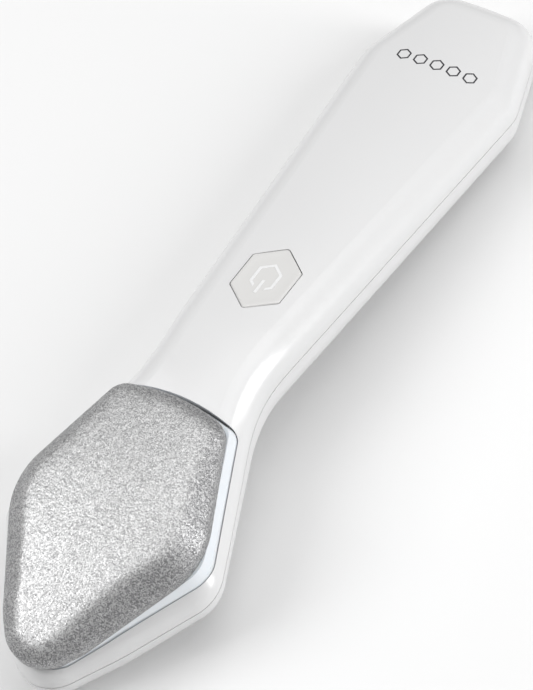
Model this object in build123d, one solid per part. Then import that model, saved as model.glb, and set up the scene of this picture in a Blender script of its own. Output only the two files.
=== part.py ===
from build123d import *
import math
import os

# Electric callus remover: a hand-held body, arched like a banana, with a five-sided vibrating
# abrasive pad at one end and a push button near the middle. Millimetres, +Z up.
# Y runs along the body, with the pad's tip at -Y and the charging port at +Y. X runs across.
# The row's origin is under the middle of the whole object, on the surface that it rests on.
#
# Three working frames share one point, the bend on the top surface above the neck:
#   plan frame    x, y, z        level
#   head frame    x, -v, h       v runs down the drooping head to its tip, h is height above it
#   handle frame  x, s, h        s runs along the handle to its end, h is height above it

os.makedirs("parts", exist_ok=True)

# ---- driving dimensions: body ----
head_droop = 12.54         # degrees, top of the head below level
head_taper = 1.5           # degrees, by which the seam, and again the underside, droops less
handle_droop = 6.06         # degrees
neck_radius = 60.0         # bend of the top surface at the neck
crown_radius = 110.0       # top surface, across
belly_radius = 160.0       # underside, across
seam_depth = 8.5           # parting line below the top
body_depth = 19.0          # underside below the top
wall = 2.1
top_edge_radius = 6.2
bottom_edge_radius = 7.2
groove_high = 0.28         # fine line all round where the casings meet
groove_deep = 0.35
foot_cut = 0.4             # flat shaved off the two lowest spots, which the object rests on

neck_half = 12.8
neck_y = -6.0
cheek_half = 26.4          # widest corner of the head
cheek_y = -44.6
jaw_half = 14.0            # a point on the slightly bulged edge from cheek to tip
jaw_y = -63.5
tip_y = -81.6
shoulder_half = 19.6
shoulder_y = 92.5
end_half = 12.4
end_y = 116.3

# ---- driving dimensions: pad cartridge, in the head frame ----
well_depth = 4.6
well_floor = 1.4
well_wall = 1.3
tray_gap = 0.2
tray_top = 0.6
tray_shoulder = -2.4
tray_bevel = 0.75
pad_lip = 2.3
pad_bevel_rise = 4.6
pad_bevel = 4.5
pad_dome_rise = 1.5
pad_dome_radius = 120.0

# ---- driving dimensions: button, in the handle frame ----
button_s = 21.2
button_long = 9.4
button_half = 6.05
button_gap = 0.18
button_proud = 0.15
button_travel = 0.5
sign_stroke = 0.62
sign_long = 4.35
sign_deep = 0.35
flange_top = -2.75
flange_thick = 0.7
flange_reach = 0.9

# ---- driving dimensions: inside ----
peg_radius = 1.4
magnet_radius = 3.0
magnet_thick = 1.9
upper_boss_radius = 2.4
lower_boss_radius = 3.1
stud_radius = 1.7
stud_top = -5.2
board_screw_radius = 0.8
board_screw_long = 3.4
board_hole_radius = 0.95
plunger_radius = 1.5
plunger_end = -5.0         # underside of the cap's plunger, just above the switch
board_top = -8.8
board_thick = 1.0
board_from = 5.0
board_to = 37.0
board_half = 8.8
cell_from = 47.5
cell_to = 93.5
cell_half = 10.5
cell_top = -7.6
cell_thick = 8.0
foam_top = -2.9
motor_h = -10.9
motor_radius = 4.1
motor_from = 20.0
motor_to = 38.0
shaft_radius = 0.5
weight_radius = 3.4
lead_radius = 0.5
screw_radius = 1.0
screw_head_radius = 1.9
screw_head = 1.3
screw_length = 8.0
port_half = 4.6
port_high = 1.75
port_drop = -7.7
cover_half = 6.4
cover_high = 5.6
cover_thick = 1.2

HEAD = Plane(origin=(0, 0, 0), x_dir=(1, 0, 0),
             z_dir=(0, -math.sin(math.radians(head_droop)), math.cos(math.radians(head_droop))))
HANDLE = Plane(origin=(0, 0, 0), x_dir=(1, 0, 0),
               z_dir=(0, math.sin(math.radians(handle_droop)), math.cos(math.radians(handle_droop))))


# ---- helpers ----
def mirrored(points):
    """A right-hand run of corners, closed by its mirror image; corners on the axis stay single."""
    left = [(-x, y) for x, y in reversed(points) if x > 0]
    return points + left


def outline(points, radii):
    """A face with rounded corners, from its right half, lowest y first: corners and radii."""
    full = mirrored(points)
    other = [r for (x, _), r in zip(reversed(points), reversed(radii)) if x > 0]
    return make_face(FilletPolyline(*full, radius=radii + other, close=True))


def inset(face, amount):
    """A face shrunk evenly on every side; 0 leaves it as it is."""
    return offset(face, amount=-amount) if amount else face


def prism(face, low, high, plane=Plane.XY, bevel=0.0, bevel_drop=0.0):
    """A face drawn in a plane, raised from height low to high, with its top edge cut away."""
    raised = extrude(face, amount=high - low, dir=(0, 0, 1))
    if bevel:
        cap = raised.faces().sort_by(Axis.Z)[-1]
        raised = chamfer(cap.edges(), length=bevel, length2=bevel_drop, reference=cap)
    return plane * Pos(0, 0, low) * raised


def box_in(plane, x, y, h):
    """A box in one of the frames, from three (low, high) pairs."""
    shape = Box(x[1] - x[0], y[1] - y[0], h[1] - h[0])
    middle = ((x[0] + x[1]) / 2, (y[0] + y[1]) / 2, (h[0] + h[1]) / 2)
    return plane * Pos(*middle) * shape


def rod_along_y(plane, x, h, y, radius):
    """A cylinder along a frame's own y, between y[0] and y[1]."""
    shape = Rot(90, 0, 0) * Cylinder(radius, y[1] - y[0])
    return plane * Pos(x, (y[0] + y[1]) / 2, h) * shape


def post(x, y, z, radius):
    """An upright cylinder between z[0] and z[1]."""
    return Pos(x, y, (z[0] + z[1]) / 2) * Cylinder(radius, z[1] - z[0])


def spine(drop, droop, radius):
    """The line-arc-line along the body at a depth under the neck bend, tip to handle end."""
    head, handle = math.radians(droop), math.radians(handle_droop)
    reach = radius * math.tan((head + handle) / 2)
    corner = Vector(0, 0, -drop)
    to_tip = Vector(0, -math.cos(head), -math.sin(head))
    to_end = Vector(0, math.cos(handle), -math.sin(handle))
    first, last = corner + to_tip * reach, corner + to_end * reach
    rise = radius * (1 / math.cos((head + handle) / 2) - 1)
    middle_dir = (to_tip + to_end).normalized()
    middle = corner + middle_dir * rise
    return Wire([Line(corner + to_tip * 105, first), ThreePointArc(first, middle, last),
                 Line(last, corner + to_end * 140)])


def slab(path, low, high, radius=0.0, half=36.0):
    """A wide band swept along the body; its top or bottom face may be crowned across."""
    sag = radius - math.sqrt(radius ** 2 - half ** 2) if radius else 0.0
    lower, upper = Line((-half, low), (half, low)), Line((half, high), (-half, high))
    if radius and high == 0.0:
        upper = ThreePointArc((half, -sag), (0, 0), (-half, -sag))
    if radius and low == 0.0:
        lower = ThreePointArc((-half, sag), (0, 0), (half, sag))
    right, left = Line(lower @ 1, upper @ 0), Line(upper @ 1, lower @ 0)
    start, along = path @ 0, path % 0
    place = Plane(origin=start, x_dir=(1, 0, 0), z_dir=(0, -along.Y, -along.Z))
    section = place * make_face([lower, right, upper, left])
    return sweep(section, path=path)


def top_slab(drop):
    """All the space under the crowned top, lowered by a drop."""
    return slab(spine(drop, head_droop, neck_radius - drop), -32.0, 0.0, crown_radius - drop)


def bottom_slab(drop):
    """All the space over the rounded underside, at a depth below the top."""
    path = spine(drop, head_droop - 2 * head_taper, neck_radius - drop)
    return slab(path, 0.0, 32.0, belly_radius)


def seam_slab(low, high):
    """A flat-topped band along the parting line, between two heights over it."""
    path = spine(seam_depth, head_droop - head_taper, neck_radius - seam_depth)
    return slab(path, low, high)


PLAN = outline(
    [(0, tip_y), (jaw_half, jaw_y), (cheek_half, cheek_y), (neck_half, neck_y),
     (shoulder_half, shoulder_y), (end_half, end_y)],
    [9.0, 60.0, 10.0, 40.0, 13.0, 8.5])


# ---- the body, before it is split ----
def rim_edges(solid, side):
    """The edge loop round the top (side 1) or the underside (side -1) of a crowned slab."""
    caps = [f for f in solid.faces() if f.normal_at(f.center()).Z * side > 0.5]
    return [e for e in solid.edges() if sum(any(e.is_same(x) for x in f.edges()) for f in caps) == 1]


def body_form(shrink):
    """The arched body with rounded edges, shrunk on every side."""
    form = prism(inset(PLAN, shrink), -60, 20) & top_slab(shrink) & bottom_slab(body_depth - shrink)
    form = fillet(rim_edges(form.solids()[0], 1), top_edge_radius - shrink)
    return fillet(rim_edges(form.solids()[0], -1), bottom_edge_radius - shrink).solids()[0]


def top_z(y):
    """Height of the top surface on the centre line."""
    return y * math.tan(math.radians(head_droop)) if y < 0 else -y * math.tan(math.radians(handle_droop))


def seam_z(y):
    """Height of the parting line."""
    slope = head_droop - head_taper if y < 0 else -handle_droop
    return y * math.tan(math.radians(slope)) - seam_depth


BODY = body_form(0.0)
ROOM = body_form(wall)
ABOVE = seam_slab(0.0, 36.0)
BELOW = seam_slab(-36.0, 0.0)
FLOOR_Z = BODY.bounding_box().min.Z + foot_cut
UNDER = Pos(0, 0, FLOOR_Z - 20) * Box(120, 400, 40)

# ---- outlines in the head frame, right half, from the tip to the neck ----
WELL = outline([(0, -83.4), (11.4, -66.4), (24.2, -45.0), (14.0, -14.6), (0, -11.8)],
               [8.5, 40.0, 9.0, 3.5, 45.0])
PAD = outline([(0, -84.6), (9.4, -70.6), (23.1, -43.6), (13.2, -15.6), (0, -12.9)],
              [9.0, 16.0, 10.5, 4.5, 45.0])
TRAY = inset(WELL, tray_gap)

# ---- outlines in the handle frame ----
def hexagon(grow):
    """The button's stretched hexagon, points along the handle, grown evenly on every side."""
    long, half = button_long + grow * 1.15, button_half + grow
    corners = [(0, long), (half, long / 2), (half, -long / 2), (0, -long), (-half, -long / 2),
               (-half, long / 2)]
    face = make_face(FilletPolyline(*corners, radius=0.9, close=True))
    return Pos(0, button_s) * face


def power_sign(stroke, long):
    """Flat strokes: a small hexagon open towards the head, with a bar through the opening."""
    half = long * button_half / button_long
    outer = make_face(Polyline((0, long), (half, long / 2), (half, -long / 2), (0, -long),
                               (-half, -long / 2), (-half, long / 2), close=True))
    ring = outer - offset(outer, amount=-stroke)
    gap = Pos(0, -long) * Rectangle(long * 0.62, long)
    bar = Pos(0, -long * 0.62) * Rectangle(stroke, long * 0.9)
    return Pos(0, button_s) * ((ring - gap) + bar)


# ---- casings ----
CASE_SCREWS = [(12.2, 39.6), (-12.2, 39.6), (9.4, 105.0), (-9.4, 105.0),
               (15.6, -38.5), (-15.6, -38.5), (0.0, -66.5)]


def screw_tip_z(y):
    """Height of a screw's tip: less under the thin head than under the handle."""
    return seam_z(y) + (1.9 if y < 0 else 4.4)


def screw_seat_z(y):
    """Height of the face that a screw's head pulls on."""
    return screw_tip_z(y) - screw_length


def seal_ring():
    """The soft string in the groove between the casings."""
    path_band = seam_slab(-0.35, 0.35)
    ring = inset(PLAN, 0.75) - inset(PLAN, 1.4)
    return prism(ring, -60, 20) & path_band


def seam_groove():
    """The fine line that shows where the casings meet."""
    ring = offset(PLAN, amount=1.0) - inset(PLAN, groove_deep)
    return prism(ring, -60, 20) & seam_slab(-groove_high / 2, groove_high / 2)


def well_tub():
    """The solid block in the head that the well is sunk into."""
    return prism(offset(WELL, amount=well_wall), -well_depth - well_floor, -1.0, HEAD) & BODY


def well_pocket():
    return prism(WELL, -well_depth, 12.0, HEAD)


def peg_places():
    """Where the tray's pegs enter the well's floor, in the head frame."""
    return [(11.5, -24.5), (-11.5, -24.5), (0.0, -41.5)]


def magnet_places():
    """Where the tray's magnets sit, in the head frame."""
    return [(0.0, -27.0), (0.0, -56.0)]


def charging_port():
    """Where the port's middle sits: y of the end face, and z."""
    return end_y, top_z(end_y - 4) + port_drop


def cover_seat():
    """The shallow recess in the end face, with the port's slot through the wall."""
    y, z = charging_port()
    recess = Pos(0, y, z) * Box(2 * cover_half + 0.4, 2 * cover_thick, cover_high + 0.4)
    recess = fillet(recess.edges().filter_by(Axis.Y), 1.4)
    slot = Pos(0, y, z) * Box(2 * port_half + 0.5, 8.0, 2 * port_high + 0.5)
    slot = fillet(slot.edges().filter_by(Axis.Y), port_high)
    hinge = Pos(0, y - cover_thick / 2, z - cover_high / 2 + 0.6) * Rot(0, 90, 0)
    return recess + slot + hinge * Cylinder(0.8, 2 * cover_half + 0.4)


BOARD_STUDS = [(x, s) for x in (-7.4, 7.4) for s in (9.4, 33.4)]


def upper_shell():
    """The top casing, with the well, the button's opening, screw bosses and board studs."""
    shell = (BODY - ROOM) & ABOVE
    shell += well_tub() & ABOVE
    for x, y in CASE_SCREWS:
        boss = post(x, y, (seam_z(y), top_z(y) + 5), upper_boss_radius)
        shell += boss & BODY & ABOVE
    shell -= well_pocket()
    shell -= prism(hexagon(button_gap), -8.0, 4.0, HANDLE)
    for x, y in CASE_SCREWS:
        shell -= post(x, y, (seam_z(y) - 1, screw_tip_z(y) + 0.3), screw_radius - 0.12)
    for x, y in magnet_places():
        shell -= HEAD * Pos(x, y, -well_depth) * Cylinder(magnet_radius + 0.6, 1.2)
    for x, y in peg_places():
        shell -= HEAD * Pos(x, y, -well_depth - 0.4) * Cylinder(peg_radius + 0.2, 1.2)
    clear_of_button = prism(hexagon(flange_reach + 0.3), board_top, 4.0, HANDLE)
    for x, s in BOARD_STUDS:
        stud = HANDLE * Pos(x, s, stud_top) * Cylinder(stud_radius, 2 * (stud_top - board_top))
        shell += (stud & BODY) - clear_of_button
        shell -= HANDLE * Pos(x, s, board_top + 1.6) * Cylinder(board_screw_radius - 0.1, 3.4)
    shell -= seal_ring() + seam_groove()
    return (shell - cover_seat()).solids().sort_by(SortBy.VOLUME)[-1]


def lower_shell():
    """The bottom casing, with screw bosses and the saddles that carry the motor."""
    shell = (BODY - ROOM) & BELOW
    for x, y in CASE_SCREWS:
        boss = post(x, y, (top_z(y) - 30, seam_z(y) - 0.02), lower_boss_radius)
        shell += boss & BODY & BELOW
    for v in (22.5, 34.5):
        saddle = box_in(HEAD, (-6.6, 6.6), (-v - 1.0, -v + 1.0), (-24, motor_h))
        shell += saddle & BODY & BELOW
    shell -= rod_along_y(HEAD, 0, motor_h, (-40, -14), motor_radius + 0.4)
    shell -= rod_along_y(HEAD, 0, motor_h, (-48, -38), weight_radius + 0.5)
    for x, y in CASE_SCREWS:
        shell -= post(x, y, (top_z(y) - 30, seam_z(y) + 1), screw_radius + 0.15)
        shell -= post(x, y, (top_z(y) - 30, screw_seat_z(y)), screw_head_radius + 0.15)
    shell -= seal_ring() + seam_groove()
    shell -= UNDER
    return (shell - cover_seat()).solids().sort_by(SortBy.VOLUME)[-1]


def case_screws():
    """Seven cross-head screws, driven from below."""
    screws = []
    for x, y in CASE_SCREWS:
        seat = screw_seat_z(y)
        head = post(x, y, (seat - screw_head, seat), screw_head_radius)
        cross = Pos(x, y, seat - screw_head) * (Box(2.2, 0.5, 1.2) + Box(0.5, 2.2, 1.2))
        shank = post(x, y, (seat, seat + screw_length), screw_radius)
        screws.append(head + shank - cross)
    return screws


def screw_plugs():
    """Soft plugs, flush with the underside, that hide the screws."""
    plugs = []
    for x, y in CASE_SCREWS:
        top = screw_seat_z(y) - screw_head - 0.25
        plug = post(x, y, (top_z(y) - 40, top), screw_head_radius + 0.1)
        plugs.append(((plug & BODY) - UNDER).solids()[0])
    return plugs


# ---- pad cartridge ----
def pad_tray():
    """The carrier: a plate in the well with a tapered shoulder that holds the abrasive."""
    tray = prism(TRAY, -well_depth + 0.3, tray_top, HEAD, tray_bevel, tray_top - tray_shoulder)
    for x, y in magnet_places():
        tray -= HEAD * Pos(x, y, -well_depth + 0.3 + 1.0) * Cylinder(magnet_radius + 0.1, 2.0)
    for x, y in peg_places():
        tray += HEAD * Pos(x, y, -well_depth + 0.1) * Cylinder(peg_radius, 1.4)
    return tray.solids()[0]


def abrasive_pad():
    """A puffed five-sided pad: upright lip, wide bevel, low domed top."""
    top = tray_top + pad_lip + pad_bevel_rise
    base = prism(PAD, tray_top, top, HEAD, pad_bevel, pad_bevel_rise)
    dome = HEAD * Pos(0, -46, top + pad_dome_rise - pad_dome_radius) * Sphere(pad_dome_radius)
    crown = prism(inset(PAD, pad_bevel - 0.05), top - 0.5, top + 4, HEAD) & dome
    return (base + crown).solids()[0]


def tray_magnets():
    """Two discs that hold the cartridge in the well."""
    return [HEAD * Pos(x, y, -well_depth + 0.3 + 1.0) * Cylinder(magnet_radius, magnet_thick)
            for x, y in magnet_places()]


def keeper_discs():
    """Steel discs in the well's floor, which the magnets pull on."""
    return [HEAD * Pos(x, y, -well_depth - 0.3) * Cylinder(magnet_radius + 0.5, 0.6)
            for x, y in magnet_places()]


def well_gasket():
    """A soft ring under the tray's edge, which keeps water out and lets the pad shake."""
    ring = inset(WELL, 0.35) - inset(WELL, 2.0)
    return prism(ring, -well_depth, -well_depth + 0.28, HEAD)


# ---- button ----
def button_sign():
    """The light guide in the button's face."""
    strokes = power_sign(sign_stroke, sign_long)
    return prism(strokes, button_proud - sign_deep, button_proud, HANDLE)


def button_cap():
    """The hexagonal cap, its flange that stops it falling out, and its plunger."""
    cap = prism(hexagon(0.0), flange_top, button_proud, HANDLE)
    cap += prism(hexagon(flange_reach), flange_top - flange_thick, flange_top, HANDLE)
    middle = Pos(0, button_s, (flange_top + plunger_end) / 2)
    cap += HANDLE * middle * Cylinder(plunger_radius, flange_top - plunger_end)
    return cap - button_sign()


def button_gasket():
    """A soft ring under the cap's flange."""
    top = flange_top - flange_thick - button_travel - 0.05
    ring = hexagon(flange_reach + 0.2) - hexagon(-1.6)
    return prism(ring, top - 0.6, top, HANDLE)


def gasket_frame():
    """A moulded frame that hangs from the casing and carries the gasket."""
    top = flange_top - flange_thick - button_travel - 0.65
    ring = hexagon(flange_reach + 1.6) - hexagon(-1.2)
    frame = prism(ring, top - 0.7, top, HANDLE)
    wall_ring = hexagon(flange_reach + 1.6) - hexagon(flange_reach + 0.35)
    return frame + (prism(wall_ring, top, -1.0, HANDLE) & ROOM)


def tact_switch():
    """The square switch on the board, bored for its stem."""
    low = board_top
    body = box_in(HANDLE, (-3.0, 3.0), (button_s - 3.0, button_s + 3.0), (low, low + 3.0))
    return body - HANDLE * Pos(0, button_s, low + 3.1) * Cylinder(1.3, 4.0)


def switch_stem():
    """The switch's moving stem, just under the cap's plunger."""
    low, high = board_top + 1.7, plunger_end - 0.05
    return HANDLE * Pos(0, button_s, (low + high) / 2) * Cylinder(1.2, high - low)


# ---- electronics ----
def main_board():
    """The circuit board, hung from the top casing's studs."""
    board = box_in(HANDLE, (-board_half, board_half), (board_from, board_to),
                   (board_top - board_thick, board_top))
    board = fillet(board.edges().filter_by(Axis((0, 0, 0), HANDLE.z_dir)), 1.2)
    for x, s in BOARD_STUDS:
        board -= HANDLE * Pos(x, s, board_top) * Cylinder(board_hole_radius, 4)
    return board


def board_screws():
    """Four small screws that hold the board to the studs."""
    screws = []
    under = board_top - board_thick
    shank = Cylinder(board_screw_radius, board_screw_long)
    for x, s in BOARD_STUDS:
        screw = HANDLE * Pos(x, s, under + board_screw_long / 2) * shank
        screws.append(screw + HANDLE * Pos(x, s, under - 0.4) * Cylinder(1.4, 0.8))
    return screws


def control_chips():
    """Controller, charge controller, coil and small parts on the board's underside."""
    under = board_top - board_thick
    controller, charger, coil = (5.0, 5.0, 0.9), (3.4, 3.4, 0.9), (3.0, 3.0, 1.6)
    small, medium, large = (1.6, 0.8, 0.6), (2.0, 1.2, 0.8), (2.8, 1.6, 1.0)
    chips = [((0.0, 20.0), controller), ((0.0, 29.0), charger), ((-5.0, 27.5), coil),
             ((5.2, 27.0), small), ((5.2, 24.8), small), ((-5.2, 20.5), small),
             ((5.2, 17.0), medium), ((-5.2, 16.0), medium), ((0.0, 12.6), large)]
    return [box_in(HANDLE, (x - wide / 2, x + wide / 2), (s - long / 2, s + long / 2),
                   (under - high, under)) for (x, s), (wide, long, high) in chips]


def indicator_lights():
    """Two lamps on the board that shine up through the button's light guide."""
    return [box_in(HANDLE, (x - 0.8, x + 0.8), (button_s - 0.4, button_s + 0.4),
                   (board_top, board_top + 0.7)) for x in (-4.6, 4.6)]


def battery_cell():
    """A flat pouch cell with rounded long edges."""
    cell = box_in(HANDLE, (-cell_half, cell_half), (cell_from, cell_to),
                  (cell_top - cell_thick, cell_top))
    return fillet(cell.edges().filter_by(Axis((0, 0, 0), HANDLE.y_dir)), 2.4)


def battery_foam():
    """Two foam blocks that press the cell down from the top casing."""
    return [box_in(HANDLE, (-7.0, 7.0), (s, s + 10.0), (cell_top, foam_top)) for s in (52.0, 76.0)]


def lead(points, bend):
    """A round wire along straight runs joined by tangent arcs."""
    path = FilletPolyline(*points, radius=bend)
    start = Plane(origin=path @ 0, z_dir=path % 0)
    return sweep(start * Circle(lead_radius), path=path)


def at_handle(x, s, h):
    """A point given in the handle frame."""
    return HANDLE.from_local_coords(Vector(x, s, h))


def at_head(x, v, h):
    """A point given in the head frame, v positive towards the tip."""
    return HEAD.from_local_coords(Vector(x, -v, h))


def battery_lead(x):
    """A wire from the board's end to the cell."""
    under = board_top - board_thick
    points = [at_handle(x, 35.0, under - lead_radius), at_handle(x, 39.0, under - lead_radius),
              at_handle(x, 42.2, under - 1.4), at_handle(x, cell_from, under - 1.4)]
    return lead(points, 1.6)


def motor_lead(x):
    """A wire from the motor, round the neck's bend, to the board."""
    under = board_top - board_thick
    points = [at_head(x, motor_from - 2.0, motor_h), at_head(x, motor_from - 7.0, motor_h),
              at_handle(x, 1.5, under - lead_radius), at_handle(x, 8.0, under - lead_radius)]
    return lead(points, 5.0)


def charge_lead(x, rise):
    """A wire from the board, beside the cell, to the charging socket's board."""
    under = board_top - board_thick
    y, z = charging_port()
    board_end = Vector(x * 0.35, y - 9.5, z - port_high - 1.22)
    points = [at_handle(x * 0.5, 35.5, under - 3 * lead_radius - rise),
              at_handle(x * 0.54, 41.0, under - 3 * lead_radius - rise),
              at_handle(x, 46.5, under - 2.2 - rise), at_handle(x, 92.0, under - 2.2 - rise),
              board_end - Vector(0, 4, 0), board_end]
    return lead(points, 2.0)


# ---- drive ----
def motor_can():
    """The motor's steel cup, with a hole for the shaft."""
    can = rod_along_y(HEAD, 0, motor_h, (-motor_to, -motor_from), motor_radius)
    can -= rod_along_y(HEAD, 0, motor_h, (-motor_to - 1, -motor_from + 1), 0.8)
    return can - rod_along_y(HEAD, 0, motor_h, (-motor_to + 1.5, -motor_from - 1), motor_radius - 0.5)


def motor_magnet():
    """The ring magnet inside the cup."""
    ring = rod_along_y(HEAD, 0, motor_h, (-motor_to + 2.5, -motor_from - 3), motor_radius - 0.5)
    return ring - rod_along_y(HEAD, 0, motor_h, (-motor_to + 2.5, -motor_from - 3), motor_radius - 1.5)


def motor_end_cap():
    """The cap that closes the motor and holds the shaft's rear end."""
    cap = rod_along_y(HEAD, 0, motor_h, (-motor_from, -motor_from + 1.8), motor_radius - 0.2)
    return cap - rod_along_y(HEAD, 0, motor_h, (-motor_from - 0.5, -motor_from + 1.0), 0.8)


def motor_sleeve():
    """The rubber sleeve between the motor and its saddles."""
    ring = rod_along_y(HEAD, 0, motor_h, (-motor_to + 1.5, -motor_from - 0.5), motor_radius + 0.35)
    return ring - rod_along_y(HEAD, 0, motor_h, (-motor_to + 1.5, -motor_from - 0.5), motor_radius)


def armature():
    """The shaft and the winding that turn together."""
    shaft = rod_along_y(HEAD, 0, motor_h, (-motor_to - 8.0, -motor_from + 0.7), shaft_radius)
    winding = rod_along_y(HEAD, 0, motor_h, (-motor_to + 4.0, -motor_from - 4.0), motor_radius - 1.8)
    return shaft, winding - shaft


def eccentric_weight():
    """A half-round weight on the shaft, which makes the head vibrate."""
    full = rod_along_y(HEAD, 0, motor_h, (-motor_to - 7.0, -motor_to - 1.5), weight_radius)
    lower_half = box_in(HEAD, (-5, 5), (-motor_to - 8, -motor_to), (motor_h - 5, motor_h - 0.2))
    hub = rod_along_y(HEAD, 0, motor_h, (-motor_to - 7.0, -motor_to - 1.5), 1.3)
    shaft = rod_along_y(HEAD, 0, motor_h, (-motor_to - 9.0, -motor_to), shaft_radius)
    return ((full & lower_half) + hub - shaft).solids()[0]


# ---- charging ----
def charge_socket():
    """The socket's steel sleeve, behind the slot in the end wall."""
    y, z = charging_port()
    inner_y = y - wall - 0.3
    shell = Pos(0, inner_y - 3.6, z) * Box(2 * port_half - 0.2, 7.2, 2 * port_high - 0.2)
    shell = fillet(shell.edges().filter_by(Axis.Y), port_high - 0.15)
    mouth = Pos(0, inner_y - 2.8, z) * Box(2 * port_half - 0.9, 7.2, 2 * port_high - 0.9)
    mouth = fillet(mouth.edges().filter_by(Axis.Y), port_high - 0.5)
    return shell - mouth


def socket_tongue():
    """The insert with the socket's contacts."""
    y, z = charging_port()
    return Pos(0, y - wall - 0.3 - 3.4, z) * Box(6.6, 6.0, 0.7)


def socket_board():
    """The small board that the socket is soldered to."""
    y, z = charging_port()
    top = z - port_high + 0.1
    return Pos(0, y - wall - 0.3 - 5.4, top - 0.4) * Box(11.8, 10.0, 0.8)


def port_cover():
    """A soft flap over the port, with a knuckle along its foot and a nub that plugs in."""
    y, z = charging_port()
    foot = z - cover_high / 2 + 0.6
    plate = Pos(0, y - cover_thick / 2, (foot + z + cover_high / 2) / 2)
    plate = plate * Box(2 * cover_half, cover_thick, z + cover_high / 2 - foot)
    corners = plate.edges().filter_by(Axis.Y).group_by(Axis.Z)[-1]
    plate = fillet(corners, 1.3)
    knuckle = Cylinder(cover_thick / 2, 2 * cover_half)
    knuckle = Pos(0, y - cover_thick / 2, foot) * Rot(0, 90, 0) * knuckle
    nub = Pos(0, y - cover_thick - 0.6, z + 0.1) * Box(2 * port_half - 1.6, 1.2, 1.3)
    nub = fillet(nub.edges().filter_by(Axis.Y), 0.6)
    return plate + knuckle + nub


motor_shaft, motor_winding = armature()
PARTS = {
    # casings
    "upper_shell": upper_shell(), "lower_shell": lower_shell(),
    "parting_seal": seal_ring() - cover_seat(),
    "case_screws": case_screws(), "screw_plugs": screw_plugs(),
    # pad cartridge and its well
    "pad_tray": pad_tray(), "abrasive_pad": abrasive_pad(), "tray_magnets": tray_magnets(),
    "keeper_discs": keeper_discs(), "well_gasket": well_gasket(),
    # button
    "button_cap": button_cap(), "button_sign": button_sign(), "button_gasket": button_gasket(),
    "gasket_frame": gasket_frame(), "tact_switch": tact_switch(), "switch_stem": switch_stem(),
    # electronics
    "main_board": main_board(), "board_screws": board_screws(), "control_chips": control_chips(),
    "indicator_lights": indicator_lights(), "battery_cell": battery_cell(),
    "battery_foam": battery_foam(),
    "battery_lead_red": battery_lead(3.0), "battery_lead_black": battery_lead(-3.0),
    "motor_lead_red": motor_lead(1.6), "motor_lead_blue": motor_lead(-1.6),
    "charge_lead_red": charge_lead(12.0, 0.0), "charge_lead_black": charge_lead(-12.0, 0.0),
    # drive
    "motor_can": motor_can(), "motor_magnet": motor_magnet(), "motor_end_cap": motor_end_cap(),
    "motor_sleeve": motor_sleeve(), "motor_shaft": motor_shaft, "motor_winding": motor_winding,
    "eccentric_weight": eccentric_weight(),
    # charging
    "charge_socket": charge_socket(), "socket_tongue": socket_tongue(),
    "socket_board": socket_board(), "port_cover": port_cover(),
}

# ---- place the origin under the middle of the object, on its resting surface ----
every = [s for shape in PARTS.values() for s in (shape if isinstance(shape, list) else [shape])]
low_y = min(s.bounding_box().min.Y for s in every)
high_y = max(s.bounding_box().max.Y for s in every)
TO_ROW = Vector(0, -(low_y + high_y) / 2, -FLOOR_Z)
for name, shape in PARTS.items():
    solids = shape if isinstance(shape, list) else list(shape.solids())
    moved = [s.moved(Location(TO_ROW)) for piece in solids for s in piece.solids()]
    export_step(moved[0] if len(moved) == 1 else Compound(children=moved), f"parts/{name}.step")

print("bend point in the row frame", TO_ROW)
port_y, port_z = charging_port()
print("port", Vector(0, port_y, port_z) + TO_ROW)
for end, half in (("tip", BODY & Pos(0, -100, 0) * Box(200, 200, 200)),
                  ("end", BODY & Pos(0, 100, 0) * Box(200, 200, 200))):
    print("lowest at the", end, half.bounding_box().min.Z + TO_ROW.Z)
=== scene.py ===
"""Looks for the electric callus remover: finishes for every piece, the grit pad, the tray,
the push button with its light guide, a small hexagon mark, and a plain studio.

The row frame is in metres, with +Z up and Y along the body, the pad's tip at -Y. The head and
the handle have frames of their own, in millimetres, that droop from the bend at the neck.
"""

import logging
import math
from dataclasses import dataclass
from enum import Enum
from typing import Any, Protocol, Sequence

import bpy
import numpy as np
from mathutils import Matrix, Vector

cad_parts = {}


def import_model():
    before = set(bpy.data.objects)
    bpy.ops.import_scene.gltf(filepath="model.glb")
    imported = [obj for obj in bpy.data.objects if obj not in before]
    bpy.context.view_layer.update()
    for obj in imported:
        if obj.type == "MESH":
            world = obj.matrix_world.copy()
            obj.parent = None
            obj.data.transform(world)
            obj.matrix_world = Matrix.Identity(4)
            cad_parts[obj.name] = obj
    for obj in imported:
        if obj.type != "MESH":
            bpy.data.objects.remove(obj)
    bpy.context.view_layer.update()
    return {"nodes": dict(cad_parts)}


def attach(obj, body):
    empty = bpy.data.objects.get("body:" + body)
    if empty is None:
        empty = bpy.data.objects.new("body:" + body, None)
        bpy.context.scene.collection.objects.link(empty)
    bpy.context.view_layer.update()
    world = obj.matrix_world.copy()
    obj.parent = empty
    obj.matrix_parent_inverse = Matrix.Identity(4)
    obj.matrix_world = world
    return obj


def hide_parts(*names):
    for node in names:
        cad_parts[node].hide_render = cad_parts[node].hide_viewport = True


log = logging.getLogger("callus_remover")
MM = 0.001
BEND = np.array([0.0, -20.0317, 30.1419]) * MM
HEAD_DROOP = math.radians(12.54)
HANDLE_DROOP = math.radians(6.06)

Array = np.ndarray
Colour = tuple[float, float, float]


class Body(str, Enum):
    """The moving bodies that new pieces ride on."""

    HOUSING = "housing"
    CARTRIDGE = "cartridge"
    BUTTON = "button"


# ---------------------------------------------------------------- surfaces


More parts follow.
